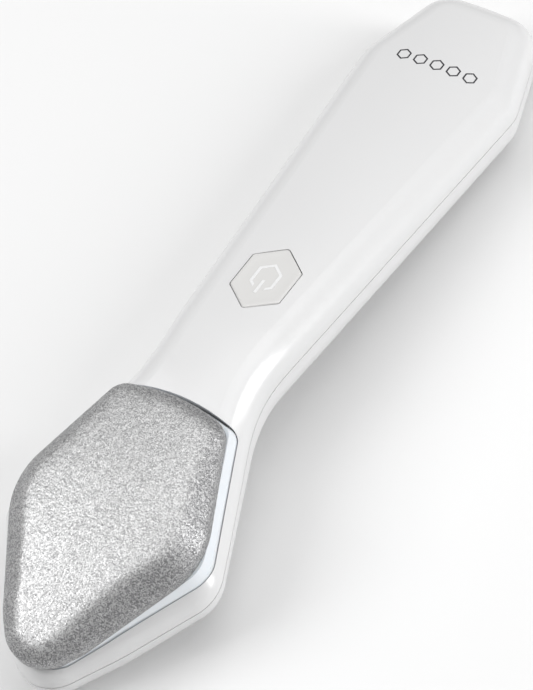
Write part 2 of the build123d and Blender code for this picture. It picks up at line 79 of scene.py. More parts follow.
def head_points(x: Array | float, v: Array | float, h: Array | float) -> Array:
    """Row-frame points of the drooping head's coordinates.

    The point is the bend plus v along the head's slope and h along its normal.

    Args:
        x: Distance across, to the right, in millimetres.
        v: Distance from the bend, negative towards the tip.
        h: Height above the head's plane.

    Returns:
        Points in metres, with a last axis of three.
    """
    c, s = math.cos(HEAD_DROOP), math.sin(HEAD_DROOP)
    x, v, h = np.broadcast_arrays(x, v, h)
    return BEND + MM * np.stack([x, v * c - h * s, v * s + h * c], axis=-1)


def handle_points(x: Array | float, s: Array | float, h: Array | float) -> Array:
    """Row-frame points of the drooping handle's coordinates.

    The point is the bend plus s along the handle's slope and h along its normal.

    Args:
        x: Distance across, to the right, in millimetres.
        s: Distance from the bend towards the handle's end.
        h: Height above the handle's plane.

    Returns:
        Points in metres, with a last axis of three.
    """
    c, n = math.cos(HANDLE_DROOP), math.sin(HANDLE_DROOP)
    x, s, h = np.broadcast_arrays(x, s, h)
    return BEND + MM * np.stack([x, s * c + h * n, -s * n + h * c], axis=-1)


def mirrored(right: Sequence[tuple[float, float]], radii: Sequence[float]) -> tuple[Array, Array]:
    """Corners and radii of a whole outline from its right half.

    The left half repeats the right one in reverse with x turned negative.

    Args:
        right: Corners from one end on the axis to the other.
        radii: Corner radius of each.

    Returns:
        All corners, counter-clockwise, and their radii.
    """
    left = [(-x, y, r) for (x, y), r in zip(reversed(right), reversed(radii)) if x > 0]
    return (np.array(list(right) + [p[:2] for p in left]),
            np.array(list(radii) + [p[2] for p in left]))


def rounded(corners: Array, radii: Array, count: int, arc_steps: int = 48) \
        -> tuple[Array, Array]:
    """Even points and outward normals along a polygon with rounded corners.

    Each corner is a circular arc of its radius, tangent to both sides: its centre lies on
    the corner's bisector at radius / sin(half the angle), and it touches each side at
    radius / tan(half the angle). Points lie at equal steps along the arcs and straight runs.

    Args:
        corners: Polygon corners, counter-clockwise.
        radii: Radius at each corner.
        count: Number of points.
        arc_steps: Points on each arc before the even spacing.

    Returns:
        Points and unit outward normals, each count by 2.
    """
    runs, ways = [], []
    for before, here, after, radius in zip(np.roll(corners, 1, 0), corners,
                                           np.roll(corners, -1, 0), radii):
        a, b = before - here, after - here
        a, b = a / np.hypot(*a), b / np.hypot(*b)
        half = math.acos(float(np.clip(a @ b, -1, 1))) / 2
        centre = here + (a + b) / np.hypot(*(a + b)) * radius / math.sin(half)
        touch = here + a * radius / math.tan(half) - centre
        angles = math.atan2(touch[1], touch[0]) + \
            (math.pi - 2 * half) * np.linspace(0, 1, arc_steps)
        way = np.stack([np.cos(angles), np.sin(angles)], axis=1)
        runs.append(centre + way * radius)
        ways.append(way)
    line, way = np.concatenate(runs), np.concatenate(ways)
    line, way = np.vstack([line, line[:1]]), np.vstack([way, way[:1]])
    reach = np.concatenate([[0], np.cumsum(np.hypot(*np.diff(line, axis=0).T))])
    at = np.linspace(0, reach[-1], count, endpoint=False)
    points = np.stack([np.interp(at, reach, line[:, k]) for k in (0, 1)], axis=1)
    normals = np.stack([np.interp(at, reach, way[:, k]) for k in (0, 1)], axis=1)
    return points, normals / np.linalg.norm(normals, axis=1, keepdims=True)


def lattice_noise(x: Array, y: Array, cell: float, seed: int) -> Array:
    """Smooth random heights over a plane.

    Random values on a square lattice are blended with the cubic 3t^2 - 2t^3 in each cell.
    The lattice repeats after its own size, and is shifted so that places near zero, on
    either side, lie well inside it.

    Args:
        x: First coordinate.
        y: Second coordinate.
        cell: Lattice spacing.
        seed: Seed of the random values.

    Returns:
        Values from -1 to 1.
    """
    size, shift_x, shift_y = 1024, 400.0, 600.0
    table = np.random.default_rng(seed).uniform(-1, 1, (size, size))
    u, v = x / cell + shift_x, y / cell + shift_y
    i, j = np.floor(u).astype(int), np.floor(v).astype(int)
    p, q = u - i, v - j
    p, q = p * p * (3 - 2 * p), q * q * (3 - 2 * q)
    i, j, i1, j1 = i % size, j % size, (i + 1) % size, (j + 1) % size
    low = table[i, j] * (1 - p) + table[i1, j] * p
    high = table[i, j1] * (1 - p) + table[i1, j1] * p
    return low * (1 - q) + high * q


def soft_min(a: Array, b: Array, blend: float) -> Array:
    """The smaller of two heights with a rounded change-over: -k log(exp(-a/k) + exp(-b/k))."""
    low = np.minimum(a, b)
    return low - blend * np.log(np.exp(-(a - low) / blend) + np.exp(-(b - low) / blend))


def mesh_object(name: str, points: Array, faces: list[list[int]], smooth: bool = True) \
        -> bpy.types.Object:
    """A mesh object at the origin from points and faces.

    Args:
        name: Name of the piece.
        points: Vertex places in metres, with a last axis of three.
        faces: Vertex numbers of each face.
        smooth: Whether faces are shaded smooth.

    Returns:
        The object, linked into the scene.
    """
    mesh = bpy.data.meshes.new(name)
    mesh.from_pydata(points.reshape(-1, 3).tolist(), [], faces)
    mesh.polygons.foreach_set("use_smooth", np.full(len(mesh.polygons), smooth))
    mesh.update()
    piece = bpy.data.objects.new(name, mesh)
    bpy.context.scene.collection.objects.link(piece)
    return piece


def ring_stack(name: str, rings: Array) -> bpy.types.Object:
    """A closed solid from loops stacked from its underside over its edge to its top.

    Quads join each loop to the next. The first and the last loop close with a fan of
    triangles on one pole each, at the mean of the loop.

    Args:
        name: Name of the piece.
        rings: Loops in metres, k by n by 3, each counter-clockwise seen from above.

    Returns:
        The object.
    """
    count, around = rings.shape[:2]
    low, high, last = count * around, count * around + 1, (count - 1) * around
    poles = np.stack([rings[0].mean(axis=0), rings[-1].mean(axis=0)])
    k, n = np.meshgrid(np.arange(count - 1), np.arange(around), indexing="ij")
    m = (n + 1) % around
    quads = np.stack([k * around + n, k * around + m, (k + 1) * around + m,
                      (k + 1) * around + n], axis=-1).reshape(-1, 4)
    n = np.arange(around)
    m = (n + 1) % around
    under = np.stack([np.full(around, low), m, n], axis=1)
    over = np.stack([np.full(around, high), last + n, last + m], axis=1)
    return mesh_object(name, np.vstack([rings.reshape(-1, 3), poles]),
                       quads.tolist() + under.tolist() + over.tolist())


# ---------------------------------------------------------------- finishes


class Tree:
    """A material's node tree with short ways to add and link nodes."""

    def __init__(self, name: str) -> None:
        """Starts a new material on its principled shader.

        Args:
            name: Name of the material.
        """
        self.material = bpy.data.materials.new(name)
        self.material.use_nodes = True
        self.nodes = self.material.node_tree.nodes
        self.shader = self.nodes["Principled BSDF"]
        self.place = self.add("ShaderNodeTexCoord").outputs["Object"]

    def add(self, kind: str, settings: dict[str, Any] | None = None,
            **inputs: Any) -> bpy.types.Node:
        """Adds a node of a kind.

        Args:
            kind: Node type name.
            settings: Node properties to set first.
            **inputs: Socket values or sockets by name, with spaces as underscores.

        Returns:
            The node.
        """
        node = self.nodes.new(kind)
        for key, value in (settings or {}).items():
            setattr(node, key, value)
        for key, value in inputs.items():
            self.put(node.inputs[key.replace("_", " ")], value)
        return node

    def put(self, socket: bpy.types.NodeSocket, value: Any) -> None:
        """Links another socket to a socket, or sets the socket's own value.

        Args:
            socket: The input socket.
            value: An output socket, or a plain value.
        """
        if isinstance(value, bpy.types.NodeSocket):
            self.material.node_tree.links.new(value, socket)
        else:
            socket.default_value = value

    def principled(self, **inputs: Any) -> None:
        """Sets or links the shader's sockets.

        Args:
            **inputs: Values or sockets by name, with spaces as underscores.
        """
        for key, value in inputs.items():
            self.put(self.shader.inputs[key.replace("_", " ")], value)

    def noise(self, scale: float, detail: float = 2.0,
              place: bpy.types.NodeSocket | None = None) -> bpy.types.NodeSocket:
        """Cloudy noise.

        Args:
            scale: Clouds per metre.
            detail: How many finer layers are added.
            place: Coordinates to use in place of the object's own.

        Returns:
            A value from 0 to 1.
        """
        return self.add("ShaderNodeTexNoise", Vector=place or self.place, Scale=scale,
                        Detail=detail).outputs["Fac"]

    def cells(self, scale: float, place: bpy.types.NodeSocket | None = None) \
            -> bpy.types.NodeSocket:
        """Voronoi cells.

        Args:
            scale: Cells per metre.
            place: Coordinates to use in place of the object's own.

        Returns:
            The distance to the nearest cell's point.
        """
        return self.add("ShaderNodeTexVoronoi", {"feature": "F1"}, Vector=place or self.place,
                        Scale=scale).outputs["Distance"]

    def stretched(self, scale: Sequence[float]) -> bpy.types.NodeSocket:
        """Object coordinates multiplied by a scale along each axis."""
        return self.add("ShaderNodeMapping", Vector=self.place,
                        Scale=tuple(scale)).outputs["Vector"]

    def ramp(self, value: bpy.types.NodeSocket, low: Sequence[float], high: Sequence[float],
             start: float = 0.0, end: float = 1.0) -> bpy.types.NodeSocket:
        """A colour ramp between two colours.

        Args:
            value: What drives the ramp.
            low: Colour up to the start.
            high: Colour from the end on.
            start: Where the ramp begins.
            end: Where the ramp ends.

        Returns:
            The colour.
        """
        node = self.add("ShaderNodeValToRGB", Fac=value)
        stops = node.color_ramp.elements
        stops[0].position, stops[1].position = start, end
        stops[0].color, stops[1].color = (*low, 1.0), (*high, 1.0)
        return node.outputs["Color"]

    def span(self, value: bpy.types.NodeSocket, low: float, high: float) \
            -> bpy.types.NodeSocket:
        """A value from 0 to 1 brought to the range from low to high."""
        return self.add("ShaderNodeMapRange", Value=value, To_Min=low,
                        To_Max=high).outputs["Result"]

    def weighted(self, value: bpy.types.NodeSocket, weight: float,
                 base: bpy.types.NodeSocket) -> bpy.types.NodeSocket:
        """The sum value times weight, plus base.

        Args:
            value: The value that is weighted.
            weight: Its factor.
            base: What is added.

        Returns:
            The sum.
        """
        node = self.add("ShaderNodeMath", {"operation": "MULTIPLY_ADD"})
        for socket, part in zip(node.inputs, (value, weight, base)):
            self.put(socket, part)
        return node.outputs["Value"]

    def bump(self, height: bpy.types.NodeSocket, depth: float, strength: float = 1.0,
             under: bpy.types.NodeSocket | None = None) -> bpy.types.NodeSocket:
        """A bumped normal.

        Args:
            height: Height pattern from 0 to 1.
            depth: Depth of the pattern in metres.
            strength: Share of the bump that shows.
            under: A bumped normal that this one adds to.

        Returns:
            The normal.
        """
        node = self.add("ShaderNodeBump", Height=height, Distance=depth, Strength=strength)
        if under is not None:
            self.put(node.inputs["Normal"], under)
        return node.outputs["Normal"]


def tinted(colour: Colour, factor: float) -> Colour:
    """A colour made lighter or darker by a factor, held under 1."""
    return tuple(min(1.0, c * factor) for c in colour)


class Finish(Protocol):
    """A finish that can build its material."""

    def build(self) -> bpy.types.Material:
        """The material."""


@dataclass(frozen=True)
class MouldedPlastic:
    """Injection-moulded plastic: faint cloudiness, uneven gloss and a fine mould texture."""

    name: str
    colour: Colour
    roughness: float = 0.32
    coat: float = 0.0
    glow: float = 0.0
    grain: float = 6e-6

    def build(self) -> bpy.types.Material:
        """The material: noise drives colour, roughness and a shallow bump."""
        t = Tree(self.name)
        cloud = t.noise(38.0, 3.0)
        t.principled(
            Base_Color=t.ramp(cloud, tinted(self.colour, 0.985), tinted(self.colour, 1.01)),
            Roughness=t.span(t.noise(150.0, 3.0), self.roughness - 0.04, self.roughness + 0.04),
            Coat_Weight=self.coat, Coat_Roughness=0.16, IOR=1.5,
            Subsurface_Weight=self.glow, Subsurface_Radius=(1.0, 0.95, 0.9),
            Subsurface_Scale=0.0012,
            Normal=t.bump(t.noise(2500.0, 2.0), self.grain))
        return t.material


@dataclass(frozen=True)
class SilverGrit:
    """Crushed crystal bonded in silver resin: facets of many greys that catch the light.

    Each facet is a Voronoi cell with a grey, a tilt and a gloss of its own. Broad patches
    darken the crust at random, and an attribute of the pad paints light on its top and leaves
    painted shade on its bevels.
    """

    name: str = "silver_grit"
    dark: Colour = (0.20, 0.20, 0.205)
    light: Colour = (0.80, 0.80, 0.80)
    facets: float = 4400.0
    facet_weight: float = 0.68
    # share of the painted light on the pad's top in the grey
    painted_top_light_weight: float = 0.33
    patches: float = 420.0
    patch_dark: float = -0.21
    patch_light: float = -0.01

    def build(self) -> bpy.types.Material:
        """The material: grey is facet, painted top light and patch added up; tilt and crust are
        bumps.
        """
        t = Tree(self.name)
        cell = t.add("ShaderNodeTexVoronoi", {"feature": "F1"}, Vector=t.place,
                     Scale=self.facets)
        facet = t.add("ShaderNodeSeparateColor", Color=cell.outputs["Color"]).outputs
        # painted light: 1 on the pad's top face, 0 on the bevels and sides, which stay in painted
        # shade
        painted_top_light = t.add("ShaderNodeAttribute", {"attribute_name": "painted_top_light"}).outputs["Fac"]
        patch = t.span(t.noise(self.patches, 4.0), self.patch_dark, self.patch_light)
        grey = t.weighted(facet["Red"], self.facet_weight,
                          t.weighted(painted_top_light, self.painted_top_light_weight, patch))
        tilt = t.bump(facet["Green"], 1.1e-4, 0.9)
        t.principled(
            Base_Color=t.ramp(grey, self.dark, self.light, 0.05, 0.95),
            Metallic=0.55, Roughness=t.span(facet["Blue"], 0.28, 0.6),
            Specular_IOR_Level=0.6, Normal=t.bump(t.noise(5200.0, 3.0), 6e-5, 0.8, tilt))
        return t.material


@dataclass(frozen=True)
class ClearTray:
    """Pale blue-grey translucent plastic with a soft sheen."""

    name: str = "clear_tray"
    colour: Colour = (0.74, 0.775, 0.81)

    def build(self) -> bpy.types.Material:
        """The material: a little light passes through, and flow lines cloud it faintly."""
        t = Tree(self.name)
        flow = t.noise(55.0, 4.0)
        t.principled(
            Base_Color=t.ramp(flow, tinted(self.colour, 0.96), tinted(self.colour, 1.03)),
            Roughness=t.span(t.noise(220.0), 0.16, 0.26), IOR=1.49,
            Subsurface_Weight=0.35, Subsurface_Radius=(0.8, 0.9, 1.0), Subsurface_Scale=0.0015,
            Coat_Weight=0.35, Coat_Roughness=0.08,
            Normal=t.bump(t.noise(1800.0), 3e-6))
        return t.material


@dataclass(frozen=True)
class Rubber:
    """Matt rubber or silicone: dull, slightly sheeny, with a dusty fine texture."""

    name: str
    colour: Colour
    roughness: float = 0.62

    def build(self) -> bpy.types.Material:
        """The material: noise clouds the colour and roughens the surface."""
        t = Tree(self.name)
        t.principled(
            Base_Color=t.ramp(t.noise(90.0, 4.0), tinted(self.colour, 0.92),
                              tinted(self.colour, 1.06)),
            Roughness=t.span(t.noise(400.0, 3.0), self.roughness - 0.08, self.roughness + 0.08),
            Sheen_Weight=0.15, Sheen_Roughness=0.5,
            Normal=t.bump(t.noise(3200.0, 3.0), 1.2e-5))
        return t.material


@dataclass(frozen=True)
class DrawnMetal:
    """Metal with fine drawn lines, closest together on the axes with the larger scale."""

    name: str
    colour: Colour
    roughness: float = 0.3
    lines: tuple[float, float, float] = (900.0, 60.0, 900.0)

    def build(self) -> bpy.types.Material:
        """The material: stretched noise makes the lines in colour, gloss and height."""
        t = Tree(self.name)
        drawn = t.noise(1.0, 4.0, t.stretched(self.lines))
        t.principled(
            Base_Color=t.ramp(drawn, tinted(self.colour, 0.85), tinted(self.colour, 1.1)),
            Metallic=1.0,
            Roughness=t.span(drawn, self.roughness - 0.08, self.roughness + 0.12),
            Normal=t.bump(drawn, 8e-6))
        return t.material


@dataclass(frozen=True)
class CircuitBoard:
    """Solder mask over copper: green and glossy, with lighter tracks under it."""

    name: str = "solder_mask"
    mask: Colour = (0.02, 0.16, 0.08)
    track: Colour = (0.05, 0.30, 0.14)

    def build(self) -> bpy.types.Material:
        """The material: right-angled cells stand for tracks and copper fills."""
        t = Tree(self.name)
        fills = t.add("ShaderNodeTexVoronoi", {"feature": "F1", "distance": "MANHATTAN"},
                      Vector=t.place, Scale=650.0).outputs["Distance"]
        t.principled(Base_Color=t.ramp(fills, self.track, self.mask, 0.30, 0.36),
                     Roughness=t.span(t.noise(300.0), 0.25, 0.4),
                     Coat_Weight=0.4, Normal=t.bump(fills, 2e-5, 0.5))
        return t.material


@dataclass(frozen=True)
class CrinkledFoil:
    """Aluminium pouch foil with long soft creases."""

    name: str = "pouch_foil"
    colour: Colour = (0.74, 0.75, 0.77)

    def build(self) -> bpy.types.Material:
        """The material: cells stretched along the battery are its creases."""
        t = Tree(self.name)
        crease = t.cells(1.0, t.stretched((260.0, 90.0, 260.0)))
        t.principled(
            Base_Color=t.ramp(t.noise(70.0, 4.0), tinted(self.colour, 0.9),
                              tinted(self.colour, 1.05)),
            Metallic=0.9, Roughness=t.span(t.noise(500.0, 3.0), 0.25, 0.45),
            Normal=t.bump(crease, 2.5e-4, 0.5))
        return t.material


@dataclass(frozen=True)
class OpenFoam:
    """Grey foam: pits of many sizes in a dull body."""

    name: str = "open_foam"
    colour: Colour = (0.26, 0.26, 0.28)

    def build(self) -> bpy.types.Material:
        """The material: Voronoi pits dent the surface, and painted shade darkens them."""
        t = Tree(self.name)
        pits = t.cells(2200.0)
        t.principled(
            # painted shade: each pit's floor is darker than the body
            Base_Color=t.ramp(pits, tinted(self.colour, 0.45), tinted(self.colour, 1.25),
                              0.1, 0.7),
            Roughness=0.92, Normal=t.bump(pits, 2e-4, 0.8))
        return t.material


@dataclass(frozen=True)
class WoundCopper:
    """Enamelled copper wire laid side by side."""

    name: str = "enamelled_copper"
    colour: Colour = (0.62, 0.24, 0.09)
    bands: float = 900.0

    def build(self) -> bpy.types.Material:
        """The material: narrow bands along the motor are the turns of wire, with painted shade in
        the grooves between them and painted light on their crests.
        """
        t = Tree(self.name)
        turns = t.add("ShaderNodeTexWave", {"bands_direction": "Y"}, Vector=t.place,
                      Scale=self.bands, Distortion=0.6).outputs["Fac"]
        t.principled(
            # painted shade in the grooves between turns, painted light on their crests
            Base_Color=t.ramp(turns, tinted(self.colour, 0.45), tinted(self.colour, 1.3)),
            Metallic=0.85, Roughness=t.span(t.noise(600.0), 0.22, 0.38),
            Coat_Weight=0.5, Normal=t.bump(turns, 6e-5))
        return t.material


@dataclass(frozen=True)
class CastGrain:
    """Dense sintered or moulded matter with a coarse dull grain."""

    name: str
    colour: Colour
    metallic: float = 0.0
    roughness: float = 0.6

    def build(self) -> bpy.types.Material:
        """The material: fine grain varies colour and height, coarser grain the gloss."""
        t = Tree(self.name)
        grain = t.noise(2600.0, 4.0)
        t.principled(
            Base_Color=t.ramp(grain, tinted(self.colour, 0.75), tinted(self.colour, 1.3)),
            Metallic=self.metallic,
            Roughness=t.span(t.noise(700.0, 3.0), self.roughness - 0.1, self.roughness + 0.1),
            Normal=t.bump(grain, 2.5e-5))
        return t.material


WHITE: Colour = (0.685, 0.685, 0.687)

# Each finish, and the carried-over nodes that wear it.
FINISHES: tuple[tuple[Finish, tuple[str, ...]], ...] = (
    (MouldedPlastic("white_shell", WHITE, 0.30, coat=0.4),
     ("upper_shell", "lower_shell", "gasket_frame")),
    (Rubber("silicone_white", (0.74, 0.74, 0.745), 0.5),
     ("parting_seal", "screw_plugs", "port_cover")),
    (MouldedPlastic("sign_white", (0.80, 0.80, 0.80), 0.3, glow=0.2), ("button_sign",)),
    (DrawnMetal("zinc_steel", (0.58, 0.58, 0.60), 0.28),
     ("case_screws", "keeper_discs", "board_screws", "motor_can", "charge_socket",
      "motor_shaft")),
    (DrawnMetal("magnet_nickel", (0.70, 0.69, 0.66), 0.16, (300.0, 300.0, 900.0)),
     ("tray_magnets",)),
    (Rubber("silicone_grey", (0.46, 0.47, 0.48)), ("well_gasket", "button_gasket")),
    (MouldedPlastic("switch_black", (0.03, 0.03, 0.032), 0.5, grain=1.5e-5),
     ("tact_switch", "motor_end_cap")),
    (MouldedPlastic("stem_brown", (0.22, 0.10, 0.05), 0.4), ("switch_stem",)),
    (CircuitBoard(), ("main_board", "socket_board")),
    (CastGrain("chip_epoxy", (0.022, 0.022, 0.025)), ("control_chips",)),
    (MouldedPlastic("led_package", (0.90, 0.88, 0.70), 0.25, glow=0.3),
     ("indicator_lights",)),
    (CrinkledFoil(), ("battery_cell",)),
    (OpenFoam(), ("battery_foam",)),
    (Rubber("wire_red", (0.42, 0.01, 0.01), 0.4),
     ("battery_lead_red", "motor_lead_red", "charge_lead_red")),
    (Rubber("wire_black", (0.015, 0.015, 0.015), 0.4),
     ("battery_lead_black", "charge_lead_black")),
    (Rubber("wire_blue", (0.01, 0.05, 0.32), 0.4), ("motor_lead_blue",)),
    (CastGrain("ferrite", (0.07, 0.07, 0.078)), ("motor_magnet",)),
    (Rubber("rubber_black", (0.02, 0.02, 0.02)), ("motor_sleeve",)),
    (WoundCopper(), ("motor_winding",)),
    (CastGrain("sintered_tungsten", (0.22, 0.22, 0.23), 0.8, 0.45), ("eccentric_weight",)),
    (MouldedPlastic("tongue_black", (0.012, 0.012, 0.013), 0.35), ("socket_tongue",)),
    (ClearTray(), ("pad_tray",)),
)


def dress(piece: bpy.types.Object, material: bpy.types.Material) -> None:
    """Puts one material on every slot of a piece.

    Args:
        piece: The piece, with or without slots.
        material: The material.
    """
    if not piece.material_slots:
        piece.data.materials.append(material)
    for slot in piece.material_slots:
        slot.material = material


@dataclass
class Wardrobe:
    """Gives every carried-over node its finish."""

    nodes: dict[str, bpy.types.Object]

    def dress_nodes(self) -> None:
        """Builds each finish once and assigns it to its nodes."""
        for finish, names in FINISHES:
            material = finish.build()
            for name in names:
                dress(self.nodes[name], material)
                log.info("%s wears %s", name, material.name)


# ---------------------------------------------------------------- pieces


@dataclass
class GritPad:
    """The puffed grit pad on top of the cartridge, in the head's frame, in millimetres."""

    corners: tuple[tuple[float, float], ...] = (
        (0.0, -83.8), (10.0, -70.3), (23.7, -44.0), (13.2, -15.6), (0.0, -12.9))
    radii: tuple[float, ...] = (9.0, 16.0, 18.0, 5.0, 45.0)
    margin: float = 0.2            # drawn in from the outline, all round
    base: float = 0.6              # height of the tray's top, where the pad sits
    lip: float = 2.6               # height of the side wall
    rise: float = 4.4              # height of the bevel
    bevel: float = 4.0             # width of the bevel
    ridge: float = 0.75            # softness of the ridge between bevel and top
    crown: float = 1.38            # height of the crown over the ridge, at its middle
    crown_radius: float = 130.0
    crown_v: float = -46.0
    under_v: float = -45.0         # middle of the underside
    skin: float = 0.02             # kept clear of the tray
    edge_round: float = 0.6        # width of the rounded edge over the side wall
    edge_drop: float = 0.36        # how far that edge falls
    wall_steps: tuple[float, ...] = (0.0, 0.4, 0.9, 1.4, 1.85)
    edge_steps: tuple[float, ...] = (0.02, 0.08, 0.18, 0.3)
    bevel_start: float = 0.45      # loops over the bevel, by distance in from the edge
    bevel_end: float = 4.4
    bevel_step: float = 0.26
    around: int = 640
    inner: int = 84
    grit: float = 0.055            # height of the grains
    grain_cell: float = 0.28
    clump_cell: float = 0.8
    painted_top_light_width: float = 0.5        # how gradually the painted light of the top gives way to the bevel's painted shade

    def planes(self, xy: Array, depth: float) -> tuple[Array, Array]:
        """Heights of the bevel's slope and of the crown, before they are joined.

        The slope rises evenly with the distance in from the edge. The crown is the top of
        a sphere: its height falls by the squared distance from its middle over twice its
        radius.

        Args:
            xy: Places across and along, n by 2.
            depth: Distance in from the edge.

        Returns:
            The two heights.
        """
        slope = np.full(len(xy), self.base + self.lip + self.rise * depth / self.bevel)
        top = self.base + self.lip + self.rise + self.crown
        away = xy[:, 0] ** 2 + (xy[:, 1] - self.crown_v) ** 2
        return slope, top - away / (2 * self.crown_radius)

    def height(self, xy: Array, depth: float) -> Array:
        """Height of the pad's face over the head's plane.

        The face is the lower of slope and crown, rounded at the ridge. Fine lattice noise
        of two sizes stands for the grains, and fades at the edge.

        Args:
            xy: Places across and along, n by 2.
            depth: Distance in from the edge.

        Returns:
            Heights.
        """
        x, v = xy.T
        grain = lattice_noise(x, v, self.grain_cell, 11) \
            + 0.5 * lattice_noise(x, v, self.clump_cell, 12)
        return soft_min(*self.planes(xy, depth), self.ridge) \
            + self.grit * grain * min(depth / self.edge_round, 1)

    def painted_top_light(self, xy: Array, depth: float) -> Array:
        """How much painted light a loop gets: 0 on the bevel's painted shade, 1 on top, 1/(1 +
        exp(gap/width)).
        """
        slope, crown = self.planes(xy, depth)
        return 1 / (1 + np.exp(np.clip((crown - slope) / self.painted_top_light_width, -30, 30)))

    @staticmethod
    def ring(xy: Array, h: Array | float) -> Array:
        """A loop of row-frame points at a height over the head's plane."""
        return head_points(xy[:, 0], xy[:, 1], h)

    def side_rings(self, line: Array, out: Array) -> list[Array]:
        """The underside and the side wall.

        Args:
            line: Outline of the pad.
            out: Outward normals along it.

        Returns:
            Loops from the middle of the underside to the top of the wall.
        """
        small, low = 0.02, self.base + self.skin
        middle = np.array([0.0, self.under_v])
        return [self.ring(line * small + middle * (1 - small), low),
                self.ring(line - out, low)] \
            + [self.ring(line - out * self.skin, low + self.skin + step)
               for step in self.wall_steps]

    def top_rings(self, line: Array, out: Array) -> tuple[list[Array], list[Array]]:
        """The rounded edge, the bevel and the crown.

        Over the edge and the bevel a loop is the outline moved in along its normals, and
        the edge falls with the square of the distance still to go. Past them the last loop
        shrinks towards the crown's middle.

        Args:
            line: Outline of the pad.
            out: Outward normals along it.

        Returns:
            Loops from the edge to the middle, and how much painted top light each gets.
        """
        steps = np.concatenate([self.edge_steps,
                                np.arange(self.bevel_start, self.bevel_end, self.bevel_step)])
        rings, painted_light_share = [], []
        for depth in steps:
            xy = line - out * depth
            fall = self.edge_drop * (1 - min(depth / self.edge_round, 1)) ** 2
            rings.append(self.ring(xy, self.height(xy, depth) - fall))
            painted_light_share.append(self.painted_top_light(xy, depth))
        start, middle, reach = xy, np.array([0.0, self.crown_v]), 20.0
        for shrink in np.linspace(1, 0.004, self.inner)[1:]:
            xy = middle + (start - middle) * shrink
            depth = steps[-1] + (1 - shrink) * reach
            rings.append(self.ring(xy, self.height(xy, depth)))
            painted_light_share.append(self.painted_top_light(xy, depth))
        return rings, painted_light_share

    def build(self) -> None:
        """Makes the pad with its attribute of painted top light and bevel shade, dresses it and
        hangs it on its body.
        """
        line, out = rounded(*mirrored(self.corners, self.radii), self.around)
        line = line - out * self.margin
        side = self.side_rings(line, out)
        top, painted_light_share = self.top_rings(line, out)
        pad = ring_stack("grit_pad", np.array(side + top))
        poles = [0.0, 1.0]
        layer = pad.data.attributes.new("painted_top_light", "FLOAT", "POINT")
        # painted light: 0 on the underside and side wall, then per loop over the bevel and top
        layer.data.foreach_set("value", np.concatenate(
            [np.zeros(self.around * len(side)), *painted_light_share, poles]))
        dress(pad, SilverGrit().build())
        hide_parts("abrasive_pad")
        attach(pad, Body.CARTRIDGE.value)
        log.info("grit_pad: %d faces", len(pad.data.polygons))


@dataclass
class PowerButton:
    """The stretched hexagon button, in the handle's frame, in millimetres.

    It has a flange under the casing, a softened edge and a shallow dish.
    """

    centre: float = 21.2
    long: float = 9.4
    half: float = 6.05
    corner: float = 0.9
    proud: float = 0.15            # height of the rim over the handle
    flange: float = 0.85           # width of the flange
    flange_low: float = -3.4
    flange_top: float = -2.8
    neck: tuple[float, ...] = (-2.78, -1.5)
    edge: float = 0.42             # radius of the softened edge
    edge_steps: int = 9
    dish: float = 0.06             # depth of the dish
    dish_steps: int = 16
    around: int = 480
    grey: Colour = (0.635, 0.63, 0.62)

    def face_rings(self, line: Array, out: Array, middle: Array) -> list[Array]:
        """The softened edge and the dished face.

        The edge is a quarter circle. Inside it the outline shrinks towards the middle, and
        dips with the square of the way in until it is flat.

        Args:
            line: Outline of the cap.
            out: Outward normals along it.
            middle: Middle of the cap.

        Returns:
            Loops from the edge to the middle.
        """
        rings = []
        for angle in np.radians(np.linspace(0, 90, self.edge_steps)):
            inwards, drop = self.edge * (1 - math.cos(angle)), self.edge * (1 - math.sin(angle))
            rings.append(self.ring(line - out * inwards, self.proud - drop))
        start, steepness = line - out * self.edge, 5
        for shrink in np.linspace(1, 0.01, self.dish_steps)[1:]:
            dip = self.dish * min(1.0, (1 - shrink) * steepness) ** 2
            rings.append(self.ring(middle + (start - middle) * shrink, self.proud - dip))
        return rings

    @staticmethod
    def ring(xy: Array, h: float) -> Array:
        """A loop of row-frame points at a height over the handle's plane."""
        return handle_points(xy[:, 0], xy[:, 1], h)

    def build(self) -> None:
        """Makes the cap, dresses it and hangs it on its body."""
        right = [(0.0, -self.long), (self.half, -self.long / 2), (self.half, self.long / 2),
                 (0.0, self.long)]
        line, out = rounded(*mirrored(right, [self.corner] * len(right)), self.around)
        middle = np.array([0.0, self.centre])
        line = line + middle
        wide, small = line + out * self.flange, 0.02
        rings = [self.ring(middle + (line - middle) * small, self.flange_low),
                 self.ring(wide, self.flange_low), self.ring(wide, self.flange_top)]
        rings += [self.ring(line, h) for h in self.neck]
        cap = ring_stack("button_face", np.array(rings + self.face_rings(line, out, middle)))
        dress(cap, MouldedPlastic("button_grey", self.grey, 0.34).build())
        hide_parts("button_cap")
        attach(cap, Body.BUTTON.value)
        log.info("button_face: %d faces", len(cap.data.polygons))


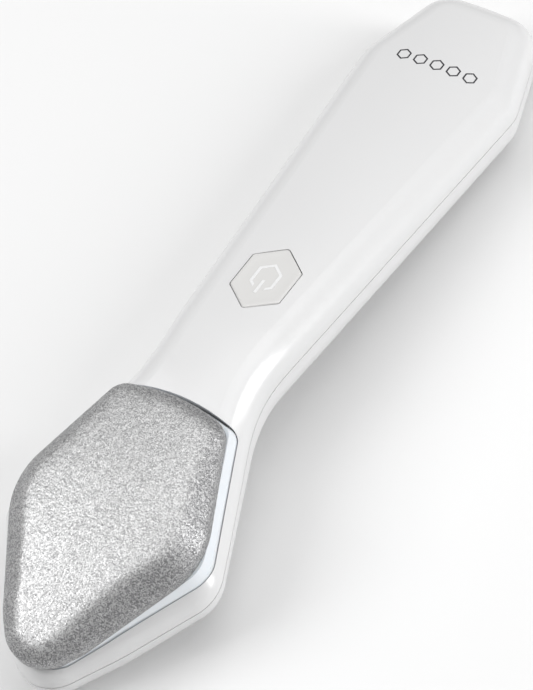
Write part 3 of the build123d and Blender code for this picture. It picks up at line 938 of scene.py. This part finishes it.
@dataclass
class HexagonMark:
    """A row of small outlined hexagons across the far end of the handle, in millimetres."""

    along: float = 93.4
    count: int = 5
    pitch: float = 4.2
    size: float = 1.75
    stroke: float = 0.42
    crown: float = 110.0           # radius of the handle's crowned top
    lift: float = 0.012            # how proud the ink stands
    ink: float = 0.05              # thickness of the ink
    black: Colour = (0.035, 0.035, 0.04)

    def build(self) -> None:
        """Makes the mark: flat hexagonal rings that follow the crowned top.

        Each ring has an inner and an outer rim, on top and below; the top falls across by
        x squared over twice the crown's radius.
        """
        sides = 6
        turns = 2 * math.pi * (np.arange(sides) + 0.5) / sides
        spokes = np.stack([np.cos(turns), np.sin(turns)], axis=1)
        steps = (np.arange(self.count) - (self.count - 1) / 2) * self.pitch
        rims = np.stack([spokes * (self.size - self.stroke), spokes * self.size])
        xy = rims[None] + np.stack([steps, np.full(self.count, self.along)], 1)[:, None, None]
        x, s = xy[..., 0], xy[..., 1]
        top = self.lift - x ** 2 / (2 * self.crown)
        points = np.stack([handle_points(x, s, top), handle_points(x, s, top - self.ink)], 1)
        n = np.arange(sides)
        inner_top, outer_top, inner_low, outer_low = (n + k * sides for k in range(4))
        m = (n + 1) % sides
        band = [(outer_top, inner_top), (inner_low, outer_low), (outer_low, outer_top),
                (inner_top, inner_low)]
        one = np.concatenate([np.stack([a, a[m], b[m], b], 1) for a, b in band])
        shift = 4 * sides * np.arange(self.count)[:, None, None]
        mark = mesh_object("hexagon_mark", points, (one + shift).reshape(-1, 4).tolist(),
                           smooth=False)
        dress(mark, MouldedPlastic("mark_ink", self.black, 0.45, grain=1e-6).build())
        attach(mark, Body.HOUSING.value)
        log.info("hexagon_mark: %d hexagons", self.count)


# ---------------------------------------------------------------- studio


@dataclass(frozen=True)
class SoftBox:
    """A rectangular lamp aimed at the object."""

    name: str
    place: tuple[float, float, float]
    size: tuple[float, float]
    power: float
    aim: tuple[float, float, float] = (0.0, 0.0, 0.02)

    def hang(self) -> None:
        """Adds the lamp, its face turned towards its aim."""
        lamp = bpy.data.lights.new(self.name, "AREA")
        lamp.shape = "RECTANGLE"
        lamp.size, lamp.size_y = self.size
        lamp.energy = self.power
        piece = bpy.data.objects.new(self.name, lamp)
        way = Vector(self.aim) - Vector(self.place)
        piece.location = self.place
        piece.rotation_euler = way.to_track_quat("-Z", "Y").to_euler()
        bpy.context.scene.collection.objects.link(piece)


@dataclass
class Studio:
    """A pale floor, soft lamps and the camera."""

    azimuth: float = 41.06         # degrees, from the tip's side round to the right
    elevation: float = 53.29
    roll: float = -12.24
    distance: float = 739.4        # from the aim point, in millimetres
    frame_height: float = 690.0    # in the picture's own units
    scale: float = 4.8187          # picture units to a millimetre at the aim point
    sensor: float = 36.0
    aim: tuple[float, float] = (11.23, 0.02)
    floor_reach: float = 3.0
    floor_gap: float = 2e-5
    surround: float = 0.22
    lamps: tuple[SoftBox, ...] = (
        SoftBox("key_box", (-0.55, -0.35, 0.75), (0.6, 0.6), 5.8),
        SoftBox("rim_box", (0.80, 0.24, 0.38), (0.25, 0.9), 6.3),
        SoftBox("top_box", (0.05, 0.25, 1.0), (0.9, 0.9), 4.3),
    )

    def build_floor(self) -> None:
        """A wide flat sheet a hair under the object, shaded a plain bright white."""
        reach, low = self.floor_reach, -self.floor_gap
        corners = np.array([(-reach, -reach, low), (reach, -reach, low), (reach, reach, low),
                            (-reach, reach, low)])
        floor = mesh_object("floor", corners, [[0, 1, 2, 3]], smooth=False)
        t = Tree("floor_paper")
        t.principled(Base_Color=t.ramp(t.noise(3.0), (0.80, 0.80, 0.80), (0.81, 0.81, 0.81)),
                     Roughness=0.9, Specular_IOR_Level=0.1)
        dress(floor, t.material)

    def build_light(self) -> None:
        """An even pale surround and the soft lamps."""
        world = bpy.data.worlds.new("surround")
        world.use_nodes = True
        sky = world.node_tree.nodes["Background"].inputs
        sky["Color"].default_value = (1, 1, 1, 1)
        sky["Strength"].default_value = self.surround
        bpy.context.scene.world = world
        for lamp in self.lamps:
            lamp.hang()

    def build_camera(self) -> None:
        """A long lens above and beside the head, rolled a little.

        The camera looks along its own axis at a point beside the bend, which is the two
        aim distances away along the picture's right and up. The focal length makes a
        millimetre there the given scale.
        """
        a, e, r = (math.radians(v) for v in (self.azimuth, self.elevation, self.roll))
        back = np.array([math.sin(a) * math.cos(e), -math.cos(a) * math.cos(e), math.sin(e)])
        level = np.array([math.cos(a), math.sin(a), 0.0])
        over = np.cross(back, level)
        right = math.cos(r) * level + math.sin(r) * over
        up = -math.sin(r) * level + math.cos(r) * over
        target = BEND + MM * (self.aim[0] * right + self.aim[1] * up)
        lens = bpy.data.cameras.new("camera")
        lens.sensor_width = self.sensor
        lens.lens = self.sensor * self.scale * self.distance / self.frame_height
        lens.clip_start, lens.clip_end = 0.05, 20.0
        camera = bpy.data.objects.new("camera", lens)
        matrix = np.eye(4)
        matrix[:3] = np.stack([right, up, back, target + MM * self.distance * back], axis=1)
        camera.matrix_world = Matrix(matrix.tolist())
        bpy.context.scene.collection.objects.link(camera)
        bpy.context.scene.camera = camera

    def build(self) -> None:
        """Sets up the floor, the light and the camera."""
        self.build_floor()
        self.build_light()
        self.build_camera()
        bpy.context.scene.view_settings.view_transform = "Standard"


def main() -> None:
    """Builds the looks round the fixed frame."""
    logging.basicConfig(level=logging.INFO, format="%(name)s: %(message)s")
    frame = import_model()
    Wardrobe(frame["nodes"]).dress_nodes()
    GritPad().build()
    PowerButton().build()
    HexagonMark().build()
    Studio().build()


if __name__ == "__main__":
    main()
